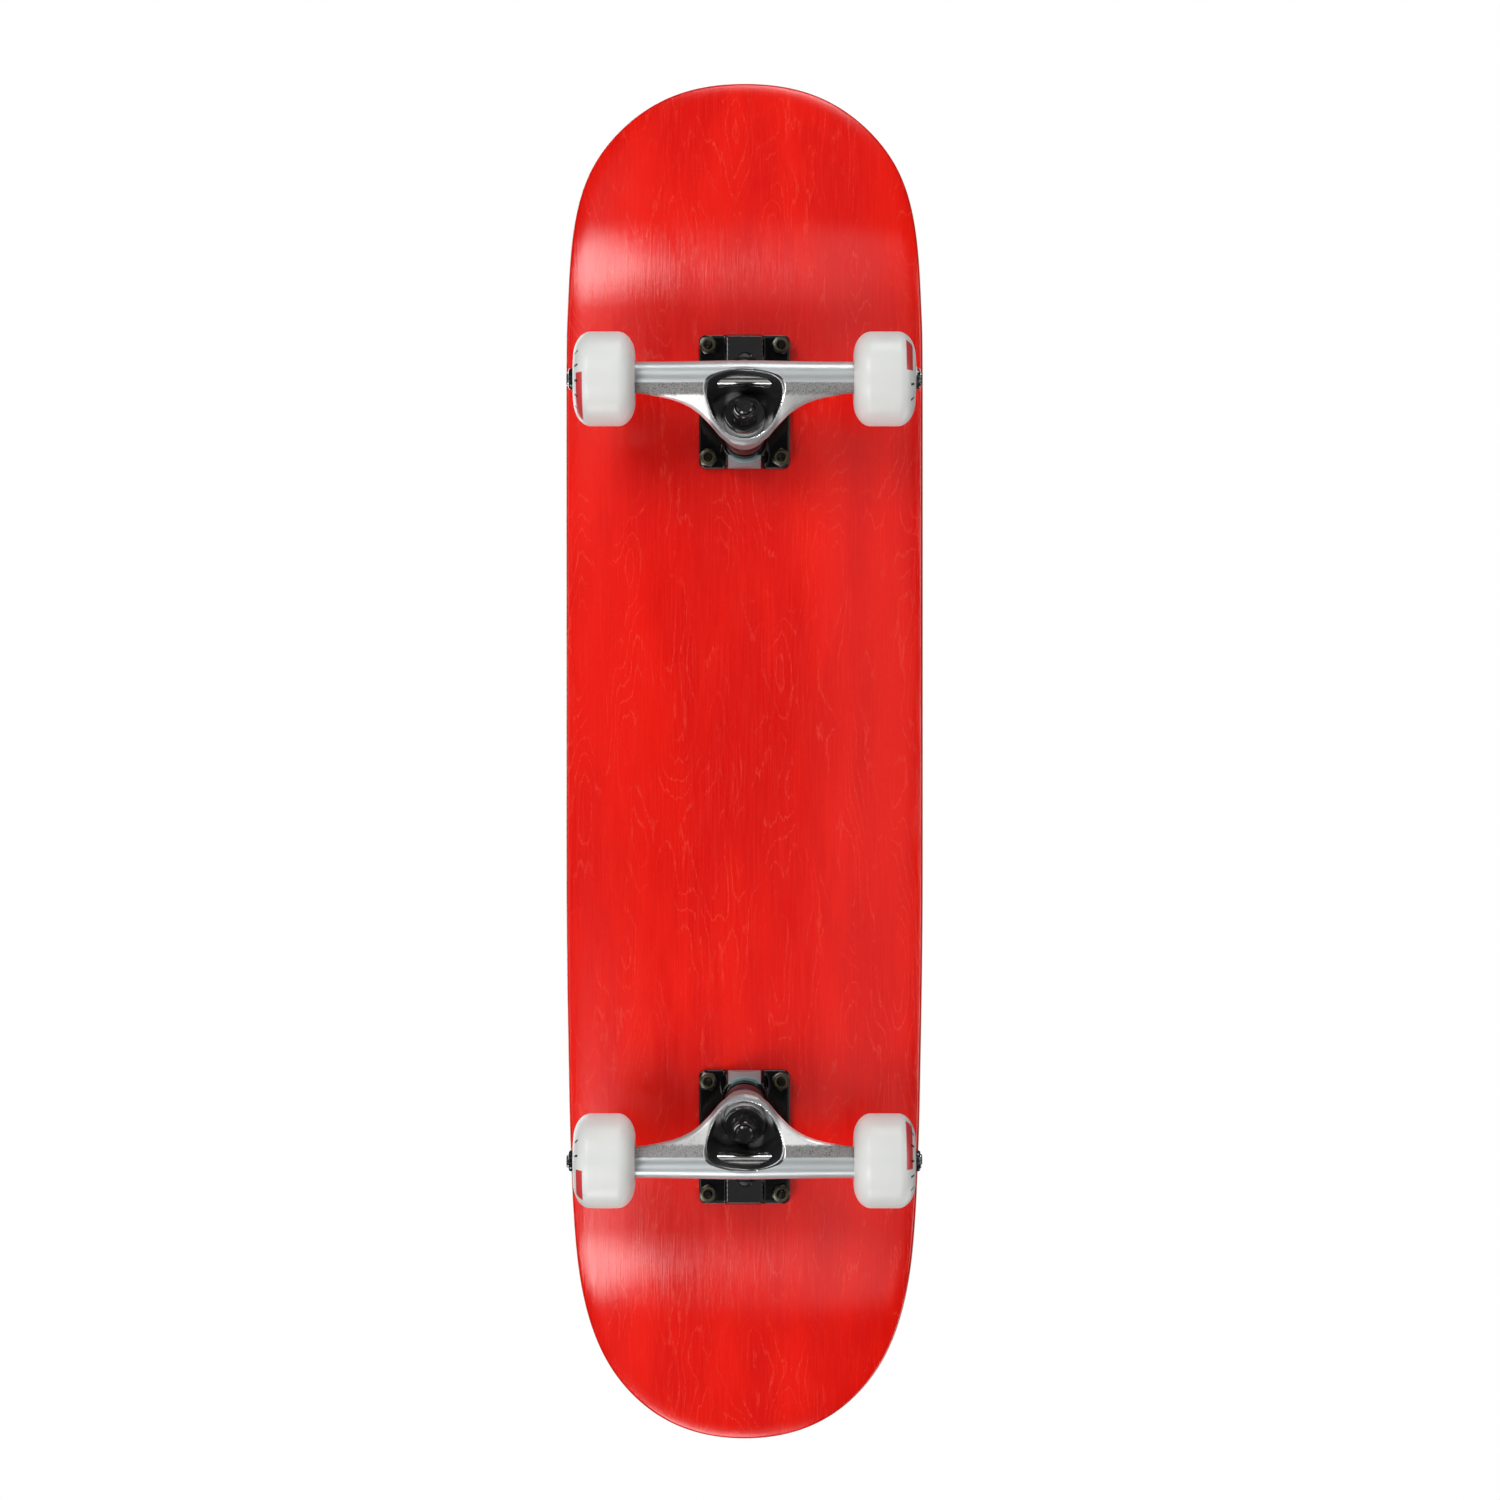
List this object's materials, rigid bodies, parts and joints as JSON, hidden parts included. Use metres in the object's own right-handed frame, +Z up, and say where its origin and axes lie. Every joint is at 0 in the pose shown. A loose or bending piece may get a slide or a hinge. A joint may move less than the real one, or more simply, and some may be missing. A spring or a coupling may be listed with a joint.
{
  "type": "skateboard",
  "caption": "Street skateboard: pressed maple deck with turned-up ends, red-stained underside, black grip tape, steering trucks and white wheels on ball bearings.",
  "frame": {"origin": "on the ground, under the middle of the board's length and width", "axes": "+X to the nose, +Y to the rider's left when facing the nose, +Z up; the wheels stand on Z = 0"},
  "size_m": [0.783, 0.2032, 0.13],
  "materials": {
    "stained_veneer": "gloss lacquer over red stain",
    "maple_core": "sanded edge",
    "maple_top": "sanded edge",
    "grip_tape": "coarse grit",
    "screw_steel": "black oxide",
    "lock_nut_zinc": "yellow-green zinc",
    "black_baseplate": "gloss black coat",
    "pivot_urethane": "matte",
    "black_kingpin": "gloss black oxide",
    "black_washer": "gloss black",
    "bushing_urethane": "satin",
    "cast_hanger": "cast, partly polished",
    "axle_steel": "turned",
    "black_axle_nut": "black oxide",
    "washer_steel": "plain zinc",
    "bearing_steel": "ground",
    "spacer_steel": "turned",
    "bearing_shield": "satin black",
    "cage_plastic": "moulded",
    "wheel_urethane": "satin cast urethane"
  },
  "bodies": {
    "board": {"deck_bottom_ply": "stained_veneer", "deck_core_plies": "maple_core", "deck_top_ply": "maple_top", "grip_tape": "grip_tape", "mounting_screws": "screw_steel", "lock_nuts": "lock_nut_zinc", "front_baseplate": "black_baseplate", "front_pivot_cup": "pivot_urethane", "front_kingpin": "black_kingpin", "front_kingpin_nut": "black_kingpin", "front_washer_board_side": "black_washer", "front_washer_road_side": "black_washer", "front_bushing_board_side": "bushing_urethane", "front_bushing_road_side": "bushing_urethane", "rear_baseplate": "black_baseplate", "rear_pivot_cup": "pivot_urethane", "rear_kingpin": "black_kingpin", "rear_kingpin_nut": "black_kingpin", "rear_washer_board_side": "black_washer", "rear_washer_road_side": "black_washer", "rear_bushing_board_side": "bushing_urethane", "rear_bushing_road_side": "bushing_urethane"},
    "front_hanger": {"front_hanger": "cast_hanger", "front_axle": "axle_steel", "front_axle_nuts": "black_axle_nut", "front_speed_washers": "washer_steel", "front_bearing_inner_races": "bearing_steel", "front_bearing_spacers": "spacer_steel"},
    "front_left_wheel": {"front_left_wheel": "wheel_urethane", "front_left_bearing_outer_races": "bearing_steel", "front_left_bearing_shields": "bearing_shield"},
    "front_left_ball_set": {"front_left_bearing_balls": "bearing_steel", "front_left_bearing_cages": "cage_plastic"},
    "front_right_wheel": {"front_right_wheel": "wheel_urethane", "front_right_bearing_outer_races": "bearing_steel", "front_right_bearing_shields": "bearing_shield"},
    "front_right_ball_set": {"front_right_bearing_balls": "bearing_steel", "front_right_bearing_cages": "cage_plastic"},
    "rear_hanger": {"rear_hanger": "cast_hanger", "rear_axle": "axle_steel", "rear_axle_nuts": "black_axle_nut", "rear_speed_washers": "washer_steel", "rear_bearing_inner_races": "bearing_steel", "rear_bearing_spacers": "spacer_steel"},
    "rear_left_wheel": {"rear_left_wheel": "wheel_urethane", "rear_left_bearing_outer_races": "bearing_steel", "rear_left_bearing_shields": "bearing_shield"},
    "rear_left_ball_set": {"rear_left_bearing_balls": "bearing_steel", "rear_left_bearing_cages": "cage_plastic"},
    "rear_right_wheel": {"rear_right_wheel": "wheel_urethane", "rear_right_bearing_outer_races": "bearing_steel", "rear_right_bearing_shields": "bearing_shield"},
    "rear_right_ball_set": {"rear_right_bearing_balls": "bearing_steel", "rear_right_bearing_cages": "cage_plastic"}
  },
  "joints": [
    {"name": "front_truck_steer", "type": "hinge", "parent": "board", "child": "front_hanger", "pos_m": [0.18609, 0, 0.04303], "axis": [0.866, 0, 0.5], "range_deg": [-12, 12], "stiffness_Nm_per_rad": 55, "deforming": ["front_bushing_board_side", "front_bushing_road_side"]},
    {"name": "front_left_wheel_spin", "type": "hinge", "parent": "front_hanger", "child": "front_left_wheel", "pos_m": [0.2108, 0.0772, 0.026], "axis": [0, 1, 0], "continuous": true},
    {"name": "front_left_ball_orbit", "type": "hinge", "parent": "front_hanger", "child": "front_left_ball_set", "pos_m": [0.2108, 0.0772, 0.026], "axis": [0, 1, 0], "continuous": true},
    {"name": "front_right_wheel_spin", "type": "hinge", "parent": "front_hanger", "child": "front_right_wheel", "pos_m": [0.2108, -0.0772, 0.026], "axis": [0, 1, 0], "continuous": true},
    {"name": "front_right_ball_orbit", "type": "hinge", "parent": "front_hanger", "child": "front_right_ball_set", "pos_m": [0.2108, -0.0772, 0.026], "axis": [0, 1, 0], "continuous": true},
    {"name": "rear_truck_steer", "type": "hinge", "parent": "board", "child": "rear_hanger", "pos_m": [-0.19578, 0, 0.04303], "axis": [-0.866, 0, 0.5], "range_deg": [-12, 12], "stiffness_Nm_per_rad": 55, "deforming": ["rear_bushing_board_side", "rear_bushing_road_side"]},
    {"name": "rear_left_wheel_spin", "type": "hinge", "parent": "rear_hanger", "child": "rear_left_wheel", "pos_m": [-0.2205, 0.0772, 0.026], "axis": [0, 1, 0], "continuous": true},
    {"name": "rear_left_ball_orbit", "type": "hinge", "parent": "rear_hanger", "child": "rear_left_ball_set", "pos_m": [-0.2205, 0.0772, 0.026], "axis": [0, 1, 0], "continuous": true},
    {"name": "rear_right_wheel_spin", "type": "hinge", "parent": "rear_hanger", "child": "rear_right_wheel", "pos_m": [-0.2205, -0.0772, 0.026], "axis": [0, 1, 0], "continuous": true},
    {"name": "rear_right_ball_orbit", "type": "hinge", "parent": "rear_hanger", "child": "rear_right_ball_set", "pos_m": [-0.2205, -0.0772, 0.026], "axis": [0, 1, 0], "continuous": true}
  ],
  "couplings": [
    {"joint": "front_left_ball_orbit", "follows": "front_left_wheel_spin", "ratio": 0.6323},
    {"joint": "front_right_ball_orbit", "follows": "front_right_wheel_spin", "ratio": 0.6323},
    {"joint": "rear_left_ball_orbit", "follows": "rear_left_wheel_spin", "ratio": 0.6323},
    {"joint": "rear_right_ball_orbit", "follows": "rear_right_wheel_spin", "ratio": 0.6323}
  ]
}
